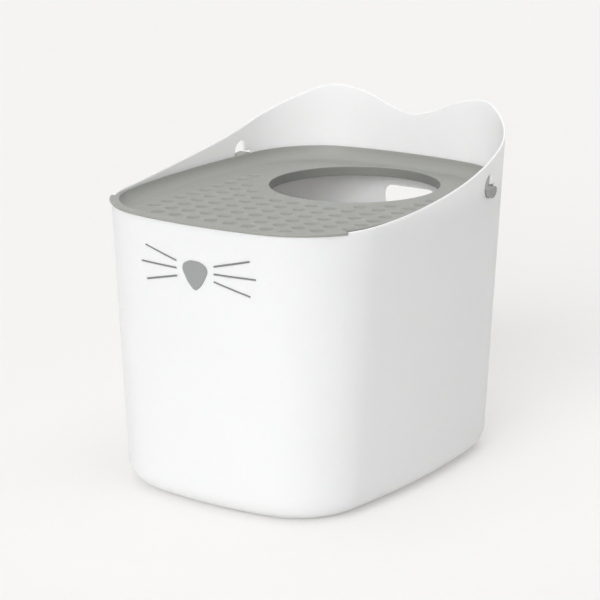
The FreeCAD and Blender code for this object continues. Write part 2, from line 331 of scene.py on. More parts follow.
# ---------------------------------------------------------------- rim line
class SmoothLine:
    """Height as a smooth function through points, with natural ends (a cubic spline)."""

    def __init__(self, points):
        self.at = [point[0] for point in points]
        self.height = [point[1] for point in points]
        count = len(points)
        gaps = [self.at[i + 1] - self.at[i] for i in range(count - 1)]
        rises = [(self.height[i + 1] - self.height[i]) / gaps[i] for i in range(count - 1)]
        diagonal, right, self.bend = [1.0] * count, [0.0] * count, [0.0] * count
        for i in range(1, count - 1):
            share = gaps[i - 1] / diagonal[i - 1] if i > 1 else 0.0
            diagonal[i] = 2 * (gaps[i - 1] + gaps[i]) - share * gaps[i - 1]
            right[i] = 6 * (rises[i] - rises[i - 1]) - share * right[i - 1]
        for i in range(count - 2, 0, -1):
            self.bend[i] = (right[i] - gaps[i] * self.bend[i + 1]) / diagonal[i]

    def __call__(self, place):
        i = min(max(bisect.bisect(self.at, place) - 1, 0), len(self.at) - 2)
        gap = self.at[i + 1] - self.at[i]
        ahead, behind = (self.at[i + 1] - place) / gap, (place - self.at[i]) / gap
        curve = (ahead ** 3 - ahead) * self.bend[i] + (behind ** 3 - behind) * self.bend[i + 1]
        return ahead * self.height[i] + behind * self.height[i + 1] + curve * gap * gap / 6


def side_rise_line():
    low = front_rim_height + ledge_step
    rise = ear_foot - ledge_step
    run = ear_junction_y - lip_end_y
    shares = [(0.0, 0.0), (0.19, 0.045), (0.405, 0.165), (0.6, 0.325),
              (0.77, 0.53), (0.9, 0.77), (1.0, 1.0)]
    return SmoothLine([(lip_end_y + run * along, low + rise * up) for along, up in shares])


def ear_line():
    top = front_rim_height + ear_height
    valley = front_rim_height + ear_valley
    rise = ear_height - ear_valley
    drop = ear_height - ear_foot
    half = rim_width / 2 - ear_x - ear_foot_inset
    inner = [(0.0, 0.0), (0.246, 0.2), (0.4, 0.43), (0.566, 0.69), (0.746, 0.877), (1.0, 1.0)]
    outer = [(0.23, 0.09), (0.46, 0.31), (0.754, 0.65), (1.0, 1.0)]
    right = [(ear_x * along, valley + rise * up) for along, up in inner]
    right += [(ear_x + half * along, top - drop * down) for along, down in outer]
    left = [(-x, z) for x, z in reversed(right[1:])]
    return SmoothLine(left + right)


side_rise = side_rise_line()
ears = ear_line()
ear_end_x = rim_width / 2 - ear_foot_inset


def rim_height(x, y):
    """Height of the rim behind the lip's end."""
    if y <= ear_junction_y:
        return side_rise(y)
    if abs(x) >= ear_end_x:
        return front_rim_height + ear_foot
    return ears(x)


def rim_over(station):
    """The rim's height where the middle of the wall at this station meets it."""
    _, span, share = station
    height = front_rim_height
    if (span, share) > (lip_span, 0.0):
        for _ in range(6):
            height = rim_height(*plan_point(station, height, wall / 2))
    return height


# ---------------------------------------------------------------- mesh helpers
def quarter(steps):
    """Sine and cosine of a quarter turn in equal steps."""
    return [(math.sin(math.pi / 2 * k / steps), math.cos(math.pi / 2 * k / steps))
            for k in range(steps + 1)]


def sheet(bm, columns, closed=False):
    """Quads between neighbouring columns of points; returns the columns' vertices."""
    rows = [[bm.verts.new(point) for point in column] for column in columns]
    pairs = list(zip(rows, rows[1:])) + ([(rows[-1], rows[0])] if closed else [])
    for left, right in pairs:
        for k in range(len(left) - 1):
            bm.faces.new((left[k], right[k], right[k + 1], left[k + 1]))
    return rows


def loft(bm, rings):
    """Adds a closed tube through rings of points, with a face over each end."""
    tube = bmesh.new()
    loops = [[tube.verts.new(point) for point in ring] for ring in rings]
    for lower, upper in zip(loops, loops[1:]):
        for k in range(len(lower)):
            after = (k + 1) % len(lower)
            tube.faces.new((lower[k], lower[after], upper[after], upper[k]))
    tube.faces.new(list(reversed(loops[0])))
    tube.faces.new(loops[-1])
    turn_outwards(tube)
    mesh = bpy.data.meshes.new("tube")
    tube.to_mesh(mesh)
    tube.free()
    bm.from_mesh(mesh)
    bpy.data.meshes.remove(mesh)


def turn_outwards(bm):
    """Turns the faces of one closed shell outwards."""
    bmesh.ops.recalc_face_normals(bm, faces=bm.faces)
    if bm.calc_volume(signed=True) < 0:
        bmesh.ops.reverse_faces(bm, faces=bm.faces)


def finish_mesh(bm, name, merge=2e-6):
    """Object from closed shells, their doubles merged."""
    bmesh.ops.remove_doubles(bm, verts=bm.verts, dist=merge)
    bmesh.ops.dissolve_degenerate(bm, edges=bm.edges, dist=merge / 2)
    mesh = bpy.data.meshes.new(name)
    bm.to_mesh(mesh)
    bm.free()
    made = bpy.data.objects.new(name, mesh)
    bpy.context.scene.collection.objects.link(made)
    return made


def settled(made):
    """Replaces the object's mesh with what its modifiers make of it, and drops them."""
    graph = bpy.context.evaluated_depsgraph_get()
    graph.update()
    mesh = bpy.data.meshes.new_from_object(made.evaluated_get(graph), depsgraph=graph)
    made.modifiers.clear()
    made.data = mesh
    return made


def combined(made, other, operation):
    """Exact boolean of two closed objects; the second is used up."""
    step = made.modifiers.new("combine", "BOOLEAN")
    step.operation = operation
    step.solver = "EXACT"
    step.object = other
    settled(made)
    bpy.data.objects.remove(other)
    return made


def soften(made, crease=math.radians(38)):
    """Smooth shading with creases kept, weighted to the large faces."""
    made.data.shade_smooth()
    made.data.set_sharp_from_angle(angle=crease)
    step = made.modifiers.new("even", "WEIGHTED_NORMAL")
    step.keep_sharp = True
    step.weight = 60
    return settled(made)


def offset_loop(loop, distance):
    """Closed loop of (a, b) pairs moved outwards by distance; loops run anticlockwise."""
    moved = []
    for k, (a, b) in enumerate(loop):
        before, after = loop[k - 1], loop[(k + 1) % len(loop)]
        into = Vector((a - before[0], b - before[1])).normalized()
        out = Vector((after[0] - a, after[1] - b)).normalized()
        tangent = (into + out).normalized()
        stretch = 1.0 / max(tangent.dot(out), 0.5)
        moved.append((a + tangent.y * distance * stretch, b - tangent.x * distance * stretch))
    return moved


def arc(centre, radius, first, last, steps):
    """(a, b) points along an arc, angles in radians."""
    return [(centre[0] + radius * math.cos(first + (last - first) * k / steps),
             centre[1] + radius * math.sin(first + (last - first) * k / steps))
            for k in range(steps + 1)]


def flare(edge_round, clear=0.001):
    """(depth below the surface, growth of the outline) pairs that leave a round edge."""
    turns = [math.radians(angle) for angle in (22, 45, 67, 90)]
    rows = [(edge_round * (1 - math.cos(turn)), edge_round * (1 - math.sin(turn))) for turn in turns]
    return [(-clear, rows[0][1] + (clear + rows[0][0]) / math.tan(turns[0]))] + rows


# ---------------------------------------------------------------- tub
def tub_profile(rim):
    """(inset, height) from the base's underside, over the rim, to the base's inner face."""
    rows = [(base_fillet * (1 - sine), base_fillet * (1 - cosine))
            for sine, cosine in quarter(fillet_steps)]
    shoulder = rim - rim_round
    heights = [foot_height + (shoulder - foot_height) * k / wall_steps for k in range(wall_steps + 1)]
    rows += [(0.0, height) for height in heights]
    turn = quarter(round_steps)
    rows += [(rim_round * (1 - cosine), shoulder + rim_round * sine) for sine, cosine in turn[1:]]
    rows += [(wall - rim_round * (1 - cosine), shoulder + rim_round * sine)
             for sine, cosine in reversed(turn[1:])]
    rows += [(wall, height) for height in reversed(heights)]
    inner = base_fillet - wall
    rows += [(wall + inner * (1 - sine), wall + inner * (1 - cosine))
             for sine, cosine in reversed(quarter(fillet_steps))]
    return rows


def tub_shell():
    bm = bmesh.new()
    columns = []
    for station in stations:
        column = []
        for inset, height in tub_profile(rim_over(station)):
            x, y = plan_point(station, max(height, foot_height), inset)
            column.append((x, y, height))
        columns.append(column)
    rows = sheet(bm, columns, closed=True)
    bm.faces.new([row[0] for row in rows])
    bm.faces.new([row[-1] for row in rows])
    turn_outwards(bm)
    return finish_mesh(bm, "tub_moulding")


def slot_loop():
    """Rounded rectangle as (x, z), anticlockwise as seen from the front."""
    half = slot_width / 2 - slot_corner
    top = front_rim_height - slot_drop
    low, high = top - slot_height + slot_corner, top - slot_corner
    corners = [((half, low), -math.pi / 2), ((half, high), 0.0),
               ((-half, high), math.pi / 2), ((-half, low), math.pi)]
    return [point for centre, first in corners
            for point in arc(centre, slot_corner, first, first + math.pi / 2, slot_corner_steps)]


def window_loop():
    """Three-quarter disc with its keeper corner, as (y, z)."""
    keeper = (window_y + keeper_back, window_z + keeper_up)
    first = math.acos(keeper_back / window_radius)
    last = 2 * math.pi + math.asin(keeper_up / window_radius)
    return arc((window_y, window_z), window_radius, first, last, window_steps) + [keeper]


def slot_cutter(bm):
    loop = slot_loop()
    outside = flare(slot_round, slot_cut_clear)
    inside = [(wall - depth, grow) for depth, grow in reversed(outside)]
    rings = []
    for depth, grow in outside + inside:
        rings.append([(x, back_wall_y(x, z, depth), z) for x, z in offset_loop(loop, grow)])
    loft(bm, rings)


def window_cutter(bm, side):
    loop = window_loop()
    outside = flare(window_round)
    inside = [(wall - depth, grow) for depth, grow in reversed(outside)]
    rings = []
    for depth, grow in outside + inside:
        rings.append([(side * side_wall_x(y, z, depth), y, z) for y, z in offset_loop(loop, grow)])
    loft(bm, rings)


# ---------------------------------------------------------------- nose and whiskers
def nose_loop(grow):
    """Rounded triangle, point down, as (x, z), anticlockwise."""
    shares = [(0.0, 0.0), (0.35, 0.012), (0.68, 0.075), (0.92, 0.17), (1.0, 0.3), (0.93, 0.44),
              (0.6, 0.745), (0.26, 0.93), (0.0, 1.0)]
    half = nose_width / 2 + grow
    top = front_rim_height - nose_drop + grow
    height = nose_height + 2 * grow
    right = [Vector((half * across, top - height * down)) for across, down in shares]
    left = [Vector((-point.x, point.y)) for point in reversed(right[1:-1])]
    knots = list(reversed(right + left))
    loop = []
    for k, point in enumerate(knots):
        before, after, beyond = knots[k - 1], knots[(k + 1) % len(knots)], knots[(k + 2) % len(knots)]
        for step in range(nose_steps):
            t = step / nose_steps
            loop.append(0.5 * (2 * point + (after - before) * t
                               + (2 * before - 5 * point + 4 * after - beyond) * t ** 2
                               + (3 * point - before - 3 * after + beyond) * t ** 3))
    return [(point.x, point.y) for point in loop]


def nose_rings(grow, shrink):
    """The nose's outline drawn in towards its middle, from whole (0) to a point (1)."""
    middle = (0.0, front_rim_height - nose_drop - nose_height * 0.42)
    return [(middle[0] + (x - middle[0]) * (1 - shrink), middle[1] + (z - middle[1]) * (1 - shrink))
            for x, z in nose_loop(grow)]


def whisker_rings(side, ends, grow, shrink):
    """A stroke's outline drawn in towards its axis, from whole (0) to a line (1)."""
    inner, outer = [Vector((side * x, front_rim_height - drop)) for x, drop in ends]
    along = (outer - inner).normalized()
    start = inner + along * whisker_width / 2
    end = outer - along * whisker_width / 2
    half = (whisker_width / 2 + grow) * (1 - shrink)
    across = Vector((-along.y, along.x))
    loop = []
    for step in range(whisker_end_steps + 1):
        turn = math.pi * step / whisker_end_steps - math.pi / 2
        loop.append(end + along * half * math.cos(turn) + across * half * math.sin(turn))
    shares = [step / whisker_side_steps for step in range(1, whisker_side_steps)]
    loop += [end.lerp(start, share) + across * half for share in shares]
    for step in range(whisker_end_steps + 1):
        turn = math.pi * step / whisker_end_steps + math.pi / 2
        loop.append(start + along * half * math.cos(turn) + across * half * math.sin(turn))
    loop += [start.lerp(end, share) - across * half for share in shares]
    return [(point.x, point.y) for point in loop]


def face_outlines():
    """For each inlay's node, its outline as a function of growth and of how far it is drawn in."""
    outlines = {"nose_inlay": nose_rings}
    for side, side_name in ((-1, "left"), (1, "right")):
        for name, ends in whisker_ends.items():
            outlines["whisker_" + side_name + "_" + name] = (
                lambda grow, shrink, side=side, ends=ends: whisker_rings(side, ends, grow, shrink))
    return outlines


def on_front_wall(loop, depth):
    return [(x, front_wall_y(x, z, depth), z) for x, z in loop]


def drawn_in(outline, grow, depth, shares):
    """Rings that close over a face of the front wall's own curve."""
    return [on_front_wall(outline(grow, share), depth) for share in shares]


def recess_cutter(bm, outline):
    rings = [on_front_wall(outline(grow, 0.0), depth) for depth, grow in flare(recess_round)]
    rings += drawn_in(outline, 0.0, inlay_recess + inlay_thickness, (0.0, 0.4, 0.8))
    loft(bm, rings)


def inlay_piece(name, outline):
    """A plate that fills its recess, with a soft upper edge, as curved as the wall."""
    bm = bmesh.new()
    back = inlay_recess + inlay_thickness
    grow = -inlay_clearance
    rings = drawn_in(outline, grow, back, (0.85, 0.4, 0.0))
    rings += [on_front_wall(outline(grow - inlay_round * (1 - cosine), 0.0),
                            inlay_recess + inlay_round * (1 - sine)) for sine, cosine in quarter(4)]
    rings += drawn_in(outline, grow - inlay_round, inlay_recess, (0.15, 0.4, 0.7, 0.9))
    loft(bm, rings)
    return soften(finish_mesh(bm, name + "_plate", 1e-6))


def make_tub():
    tub = tub_shell()
    bm = bmesh.new()
    slot_cutter(bm)
    for side in (-1, 1):
        window_cutter(bm, side)
    for outline in face_outlines().values():
        recess_cutter(bm, outline)
    return soften(combined(tub, finish_mesh(bm, "openings"), "DIFFERENCE"))


# ---------------------------------------------------------------- lid
def lid_rim(y):
    """Height of the lid's rim: level beside the lip, then a slow arc up to the back."""
    if y <= lip_end_y:
        return lid_rim_front
    run = back_y - lip_end_y
    radius = (run ** 2 + lid_back_rise ** 2) / (2 * lid_back_rise)
    return lid_rim_front + radius - math.sqrt(radius ** 2 - (y - lip_end_y) ** 2)


def bowl_point(radius, turn):
    """(inset, height) on the tray's curved edge; turn 0 is the floor."""
    return bowl_inset - radius * math.sin(turn), bowl_height - radius * math.cos(turn)


outer_bowl = bowl_radius + lid_thickness
middle_bowl = bowl_radius + lid_thickness / 2
shared_turn_inside = math.radians(70)
shared_turn_outside = math.acos((bowl_height - plate_bottom) / outer_bowl)


def bowl_inside():
    return [bowl_point(bowl_radius, shared_turn_inside * k / bowl_steps) for k in range(bowl_steps + 1)]


def bowl_outside():
    return [bowl_point(outer_bowl, shared_turn_outside * (bowl_steps - k) / bowl_steps)
            for k in range(bowl_steps)]


def plain_edge(rim):
    """(inset, height) over the bare rim of the tray: a full round bead."""
    bead = lid_thickness / 2
    turn = math.acos((bowl_height - rim + bead) / middle_bowl)
    centre = bowl_point(middle_bowl, turn)
    rows = [bowl_point(bowl_radius, (shared_turn_inside + turn) / 2)]
    for step in range(7):
        lean = turn + math.pi * (1 - step / 6)
        # from the inner side, over the tip, to the outer side
        rows.append((centre[0] - bead * math.sin(lean), centre[1] - bead * math.cos(lean)))
    rows.append(bowl_point(outer_bowl, shared_turn_outside))
    return rows


def lip_edge(pull):
    """(inset, height) over the lip; pull draws its outer face and hem in towards its end."""
    top = lid_rim_front
    outer = -(lip_clearance + lip_wall) + pull
    inner = -lip_clearance
    hem = front_rim_height - lip_drop + pull
    brow_height = bowl_height - top
    brow = bowl_inset - math.sqrt(bowl_radius ** 2 - brow_height ** 2)
    start = bowl_point(bowl_radius, shared_turn_inside)
    rows = []
    for step in range(1, 6):
        t = step / 5
        rows.append((start[0] * (1 - t) ** 2 + brow * 2 * t * (1 - t) + (brow - lip_round) * t ** 2,
                     start[1] * (1 - t) ** 2 + top * 2 * t * (1 - t) + top * t ** 2))
    rows += [(outer + lip_round * (1 - sine), top - lip_round * (1 - cosine))
             for sine, cosine in quarter(round_steps)]
    rows.append((outer, top - lip_round - lip_face))
    rows.append((outer + lip_undercut, hem + lip_hem_round))
    rows.append((outer + lip_undercut + lip_hem_round / 2, hem))
    rows += [(inner - lip_hem_round * (1 - sine), hem + lip_hem_round * (1 - cosine))
             for sine, cosine in quarter(2)]
    rows += [(inner, plate_bottom), bowl_point(outer_bowl, shared_turn_outside)]
    return rows


def lid_column(station, edge):
    """The tray's profile from floor to underside at a station, at true place."""
    rows = bowl_inside() + edge + bowl_outside()
    column = []
    for inset, height in rows:
        x, y = lid_plan_point(station, inset)
        column.append((x, y, height))
    return column


def lid_plan_point(station, inset):
    """The lid keeps one plan at every height, and its lip ends a gap short of the tub's step."""
    side, span, share = station
    if (span, share) != (lip_span, 0.0):
        return plan_point(station, front_rim_height, inset)
    centre, radius, first, _ = plan_at(front_rim_height).spans(inset)[span]
    turn = first - lip_end_gap / radius
    return side * (centre.x + radius * math.cos(turn)), centre.y + radius * math.sin(turn)


def end_pull(distance):
    """How far the lip's outer face has turned in, this far from its end."""
    if distance >= lip_end_round:
        return 0.0
    share = 1 - distance / lip_end_round
    return lip_end_round * lip_end_draw * (1 - math.sqrt(1 - share * share))


def lid_ring():
    """The tray's curved edge, the lip and its two end faces."""
    bm = bmesh.new()
    count = len(stations)
    lip_last = lip_station
    end_y = lip_end_y - lip_end_gap
    # extra stations close to the lip's ends, as shares of the span before it
    before = right_stations[lip_last - 1]
    near_end = [(before[0], before[1] + (1 - before[1]) * share) for share in (0.5, 0.8, 0.92, 0.98)]

    def lip_half(side):
        own = [(side, span, share) for span, share in right_stations[:lip_last]]
        return own + [(side, span, share) for span, share in near_end] + [(side, lip_span, 0.0)]

    front_run = list(reversed(lip_half(-1)))[:-1] + lip_half(1)
    columns = []
    for station in front_run:
        y = lid_plan_point(station, 0.0)[1]
        pull = end_pull(abs(end_y - y)) if station[1] in (before[0], lip_span) else 0.0
        columns.append(lid_column(station, lip_edge(pull)))
    sheet(bm, columns)

    rear_run = stations[lip_last:count - lip_last + 1]
    plain = [lid_column(station, plain_edge(lid_rim(lid_plan_point(station, bowl_inset)[1])))
             for station in rear_run]
    sheet(bm, plain)

    for front_column, rear_column in ((columns[-1], plain[0]), (columns[0], plain[-1])):
        front_path = front_column[bowl_steps:len(front_column) - bowl_steps]
        rear_path = rear_column[bowl_steps:len(rear_column) - bowl_steps]
        loop = front_path + list(reversed(rear_path[1:-1]))
        bm.faces.new([bm.verts.new(point) for point in loop])
    return bm, columns[:-1] + plain[:-1]


def dimple_places():
    """Square pattern over the floor, clear of the curved edge and of the entry hole."""
    places = []
    columns = int(rim_width / 2 / dimple_pitch_across)
    for column in range(-columns, columns + 1):
        for row in range(dimple_rows):
            x = column * dimple_pitch_across
            y = front_y + dimple_front_margin + row * dimple_pitch_along
            clear_of_hole = math.hypot(x, y - hole_y) > hole_radius + dimple_hole_margin
            if clear_of_hole and inside_plan(max(abs(x), 1e-6), y, dimple_side_margin):
                places.append((x, y))
    return places


def inside_plan(x, y, inset):
    """Whether a point on the right half lies inside the rim's plan, offset inwards by inset."""
    plan = plan_at(front_rim_height)
    for centre, radius, first, last in plan.spans(inset):
        turn = math.atan2(y - centre.y, x - centre.x)
        if first <= turn <= last and math.hypot(x - centre.x, y - centre.y) > radius:
            return False
    return True


def circle_points(x, y, radius, sides):
    return [(x + radius * math.cos(2 * math.pi * k / sides),
             y + radius * math.sin(2 * math.pi * k / sides)) for k in range(sides)]


def level_face(bm, outline, holes, height):
    """Level triangles between an outline and round holes, given as (x, y, radius, sides)."""
    points = [Vector(point[:2]) for point in outline]
    edges = [(k, (k + 1) % len(points)) for k in range(len(points))]
    heights = [point[2] for point in outline]
    for x, y, radius, sides in holes:
        first = len(points)
        points += [Vector(point) for point in circle_points(x, y, radius, sides)]
        edges += [(first + k, first + (k + 1) % sides) for k in range(sides)]
        heights += [height] * sides
    flat, _, triangles, origins, _, _ = delaunay_2d_cdt(points, edges, [], 1, 1e-7)
    verts = [bm.verts.new((point.x, point.y, heights[origin[0]] if origin else height))
             for point, origin in zip(flat, origins)]
    for triangle in triangles:
        middle = sum((flat[k] for k in triangle), Vector((0.0, 0.0))) / 3
        if all((middle - Vector((x, y))).length > radius * math.cos(math.pi / sides) - 1e-6
               for x, y, radius, sides in holes):
            bm.faces.new([verts[k] for k in triangle])


def entry_hole_wall(bm):
    """The hole's rolled edge and its skirt, from the floor down and back up to the underside."""
    low = floor_height - skirt_depth
    outer = hole_radius + lid_thickness
    rows = [(hole_radius + hole_round * (1 - sine), floor_height - hole_round * (1 - cosine))
            for sine, cosine in quarter(5)]
    rows.append((hole_radius, (floor_height + low) / 2))
    rows += [(hole_radius + skirt_round * (1 - cosine), low + skirt_round * (1 - sine))
             for sine, cosine in quarter(3)]
    rows += [(outer - skirt_round * (1 - sine), low + skirt_round * (1 - cosine))
             for sine, cosine in quarter(3)]
    rows.append((outer, floor_height - lid_thickness))
    columns = []
    for k in range(hole_steps):
        turn = 2 * math.pi * k / hole_steps
        columns.append([(radius * math.cos(turn), hole_y + radius * math.sin(turn), height)
                        for radius, height in rows])
    sheet(bm, columns, closed=True)


# ---------------------------------------------------------------- dimples, by Geometry Nodes
def input_of(node, key):
    """A node's input by name, with _ for spaces, or by number, as i0."""
    return node.inputs[int(key[1:])] if key[1:].isdigit() else node.inputs[key.replace("_", " ")]


class NodeTree:
    """A Geometry Nodes tree with named inputs, built node by node."""

    def __init__(self, name, sizes):
        self.tree = bpy.data.node_groups.new(name, "GeometryNodeTree")
        face = self.tree.interface
        face.new_socket("Geometry", in_out="INPUT", socket_type="NodeSocketGeometry")
        for label in sizes:
            face.new_socket(label, in_out="INPUT", socket_type="NodeSocketFloat")
        face.new_socket("Finish", in_out="INPUT", socket_type="NodeSocketMaterial")
        face.new_socket("Geometry", in_out="OUTPUT", socket_type="NodeSocketGeometry")
        self.inputs = self.add("NodeGroupInput")

    def add(self, kind, settings=None, **links):
        node = self.tree.nodes.new(kind)
        for key, value in (settings or {}).items():
            setattr(node, key, value)
        for key, value in links.items():
            socket = input_of(node, key)
            if isinstance(value, bpy.types.NodeSocket):
                self.tree.links.new(value, socket)
            else:
                socket.default_value = value
        return node

    def math(self, operation, *values):
        links = {"i%d" % k: value for k, value in enumerate(values)}
        return self.add("ShaderNodeMath", {"operation": operation}, **links).outputs[0]


def dimple_tree():
    """A soft round dish on every point: the depth is a shallow cap, rolled off at its edge."""
    tree = NodeTree("dimple_field", ("Radius", "Roll", "Depth", "Softness", "Fullness"))
    size = tree.inputs.outputs
    reach = tree.math("ADD", size["Radius"], size["Roll"])
    disc = tree.add("GeometryNodeMeshCone", {"fill_type": "NONE"}, Vertices=dimple_sides,
                    Side_Segments=dimple_rings, Radius_Top=0.0, Radius_Bottom=reach, Depth=0.0)
    place = tree.add("GeometryNodeInputPosition").outputs[0]
    out = tree.add("ShaderNodeVectorMath", {"operation": "LENGTH"}, i0=place).outputs["Value"]

    def cap(distance):
        share = tree.math("POWER", tree.math("DIVIDE", distance, size["Radius"]),
                          size["Fullness"])
        bare = tree.math("MULTIPLY", size["Depth"], tree.math("SUBTRACT", 1.0, share))
        square = tree.math("MULTIPLY", bare, bare)
        soft = tree.math("MULTIPLY", size["Softness"], size["Softness"])
        return tree.math("MULTIPLY", 0.5, tree.math(
            "ADD", bare, tree.math("SQRT", tree.math("ADD", square, soft))))

    sink = tree.math("SUBTRACT", cap(reach), cap(out))
    lift = tree.add("ShaderNodeCombineXYZ", Z=sink).outputs[0]
    dish = tree.add("GeometryNodeSetPosition", Geometry=disc.outputs["Mesh"], Offset=lift).outputs[0]
    spread = tree.add("GeometryNodeInstanceOnPoints", Points=size["Geometry"], Instance=dish).outputs[0]
    real = tree.add("GeometryNodeRealizeInstances", Geometry=spread).outputs[0]
    painted = tree.add("GeometryNodeSetMaterial", Geometry=real, Material=size["Finish"]).outputs[0]
    tree.add("NodeGroupOutput", Geometry=painted)
    return tree.tree


def dimple_dishes(finish):
    """One mesh of all the dishes, from a cloud of points at their places."""
    cloud = bpy.data.meshes.new("dimple_places")
    cloud.from_pydata([(x, y, floor_height) for x, y in dimple_places()], [], [])
    field = bpy.data.objects.new("dimple_field", cloud)
    bpy.context.scene.collection.objects.link(field)
    step = field.modifiers.new("dimples", "NODES")
    step.node_group = dimple_tree()
    wanted = {"Radius": dimple_radius, "Roll": dimple_roll, "Depth": dimple_depth,
              "Softness": dimple_softness, "Fullness": dimple_fullness, "Finish": finish}
    for item in step.node_group.interface.items_tree:
        if item.item_type == "SOCKET" and item.in_out == "INPUT" and item.name in wanted:
            step[item.identifier] = wanted[item.name]
    mesh = settled(field).data
    bpy.data.objects.remove(field)
    return mesh


# ---------------------------------------------------------------- trunnions
def trunnion_loop(grow=0.0):
    """D section, flat side up and tilted, as (y, z) round its axis; its two corners are eased."""
    radius = trunnion_radius + grow
    flat = trunnion_flat + grow
    corner = math.asin(flat / radius)
    points = arc((0.0, 0.0), radius, math.pi - corner + trunnion_ease,
                 2 * math.pi + corner - trunnion_ease, window_steps)
    edge = radius * math.cos(corner) - trunnion_corner
    points += [(edge, flat), (-edge, flat)]
    cosine, sine = math.cos(trunnion_flat_tilt), math.sin(trunnion_flat_tilt)
    return [(trunnion_y + y * cosine - z * sine, trunnion_z + y * sine + z * cosine)
            for y, z in points]


def trunnion_stub(side):
    bm = bmesh.new()
    end = side_end_x()
    loop = trunnion_loop()
    root = []
    for y, z in loop:
        turn = math.acos(max(0.0, min(1.0, (bowl_height - z) / middle_bowl)))
        inset = bowl_point(middle_bowl, turn)[0]
        root.append((side * side_wall_x(y, front_rim_height, inset), y, z))
    rings = [root]
    for sine, cosine in quarter(3):
        eased = trunnion_loop(-trunnion_round * (1 - cosine))
        rings.append([(side * (end - trunnion_round * (1 - sine)), y, z) for y, z in eased])
    loft(bm, rings)
    return finish_mesh(bm, "trunnion")


def side_end_x():
    tub_side = rim_width / 2 - side_bow * (trunnion_y / (back_y - corner_radius)) ** 2
    return tub_side + trunnion_reach


def make_lid(finish):
    bm, ring_columns = lid_ring()
    floor_loop = [column[0] for column in ring_columns]
    under_loop = [column[-1] for column in ring_columns]
    hole = (0.0, hole_y, hole_radius + hole_round, hole_steps)
    dishes = [(x, y, dimple_radius + dimple_roll, dimple_sides) for x, y in dimple_places()]
    level_face(bm, floor_loop, [hole] + dishes, floor_height)
    skirt = (0.0, hole_y, hole_radius + lid_thickness, hole_steps)
    level_face(bm, under_loop, [skirt], floor_height - lid_thickness)
    entry_hole_wall(bm)
    bm.from_mesh(dimple_dishes(finish))
    bmesh.ops.remove_doubles(bm, verts=bm.verts, dist=4e-6)
    turn_outwards(bm)
    lid = finish_mesh(bm, "lid_moulding")
    for side in (-1, 1):
        combined(lid, trunnion_stub(side), "UNION")
    return soften(lid)


# ---------------------------------------------------------------- finishes
class Socket:
    """A shader value on which Python's arithmetic adds Math nodes."""

    def __init__(self, shading, socket):
        self.shading = shading
        self.socket = socket

    def _math(self, operation, first, second):
        return self.shading.value("ShaderNodeMath", {"operation": operation}, i0=first, i1=second)

    def __add__(self, other):
        return self._math("ADD", self, other)

    def __sub__(self, other):
        return self._math("SUBTRACT", self, other)

    def __rsub__(self, other):
        return self._math("SUBTRACT", other, self)

    def __mul__(self, other):
        return self._math("MULTIPLY", self, other)

    __radd__ = __add__
    __rmul__ = __mul__


class Shading:
    """A tree whose nodes are all made by one method."""

    def __init__(self, tree):
        self.tree = tree

    def node(self, kind, settings=None, **links):
        made = self.tree.nodes.new(kind)
        for key, value in (settings or {}).items():
            setattr(made, key, value)
        self.wire(made, **links)
        return made

    def wire(self, made, **links):
        for key, value in links.items():
            socket = input_of(made, key)
            value = value.socket if isinstance(value, Socket) else value
            if isinstance(value, bpy.types.NodeSocket):
                self.tree.links.new(value, socket)
            else:
                socket.default_value = value

    def value(self, kind, settings=None, **links):
        return Socket(self, self.node(kind, settings, **links).outputs[0])

    def blend(self, share, first, second):
        mixed = self.node("ShaderNodeMix", {"data_type": "RGBA"}, i0=share, i6=first, i7=second)
        return mixed.outputs[2]


class Finish(Shading):
    """A material's shading, with the patterns that moulded plastic needs."""

    def __init__(self, name):
        self.material = bpy.data.materials.new(name)
        self.material.use_nodes = True
        super().__init__(self.material.node_tree)
        self.shader = self.tree.nodes["Principled BSDF"]
        self.place = self.node("ShaderNodeTexCoord").outputs["Object"]

    def noise(self, scale, detail=2.0, roughness=0.5):
        return self.value("ShaderNodeTexNoise", Vector=self.place, Scale=scale, Detail=detail,
                          Roughness=roughness)

    def between(self, mask, low, high):
        """A mask's 0 to 1 stretched so that low gives 0 and high gives 1."""
        return self.value("ShaderNodeMapRange", {"clamp": True}, Value=mask, From_Min=low, From_Max=high)


def moulded_plastic(name, colour, deep, rough, rough_span, grain_depth, scuff, glow=0.0, low=None):
    """Satin injection-moulded plastic: an even colour that drifts a little, a fine spark-eroded
    grain, a slow unevenness of the wall, and faint handling scuffs that change the gloss.
    low is a level and a depth below it over which the colour darkens: painted shade in the dimples, the
    hole's skirt and the underside."""
    finish = Finish(name)
    drift = finish.between(finish.noise(5.0, 3.0), 0.35, 0.65)
    fleck = finish.between(finish.noise(260.0, 2.0), 0.3, 0.7)
    shade = drift * 0.7 + fleck * 0.3
    grain = finish.noise(1500.0, 2.0, 0.6)
    pores = finish.value("ShaderNodeTexVoronoi", Vector=finish.place, Scale=900.0)
    sway = finish.noise(22.0, 1.0)
    rubbed = finish.between(finish.noise(34.0, 4.0, 0.65), 0.52, 0.72) * scuff
    fine = finish.node("ShaderNodeBump", Strength=1.0, Distance=grain_depth,
                       Height=grain * 0.65 + pores * 0.35)
    slow = finish.node("ShaderNodeBump", Strength=1.0, Distance=wall_sway, Height=sway,
                       Normal=fine.outputs[0])
    tint = finish.blend(shade, deep, colour)
    # painted shade: below the given level the colour darkens, standing in for the shade in the hollows
    if low:
        level, depth = low
        height = finish.node("ShaderNodeSeparateXYZ", Vector=finish.place).outputs["Z"]
        painted_shade = finish.between(height, level, level - depth)
        tint = finish.blend(painted_shade, tint, [part * painted_shade_tone for part in deep[:3]] + [1])
    finish.wire(finish.shader, Base_Color=tint,
                Roughness=rough + drift * rough_span - rubbed * 0.12 + fleck * 0.03,
                Normal=slow.outputs[0], Specular_IOR_Level=0.45, IOR=1.49,
                Subsurface_Weight=glow, Subsurface_Radius=(1.0, 0.97, 0.93),
                Subsurface_Scale=glow_reach)
    return finish.material


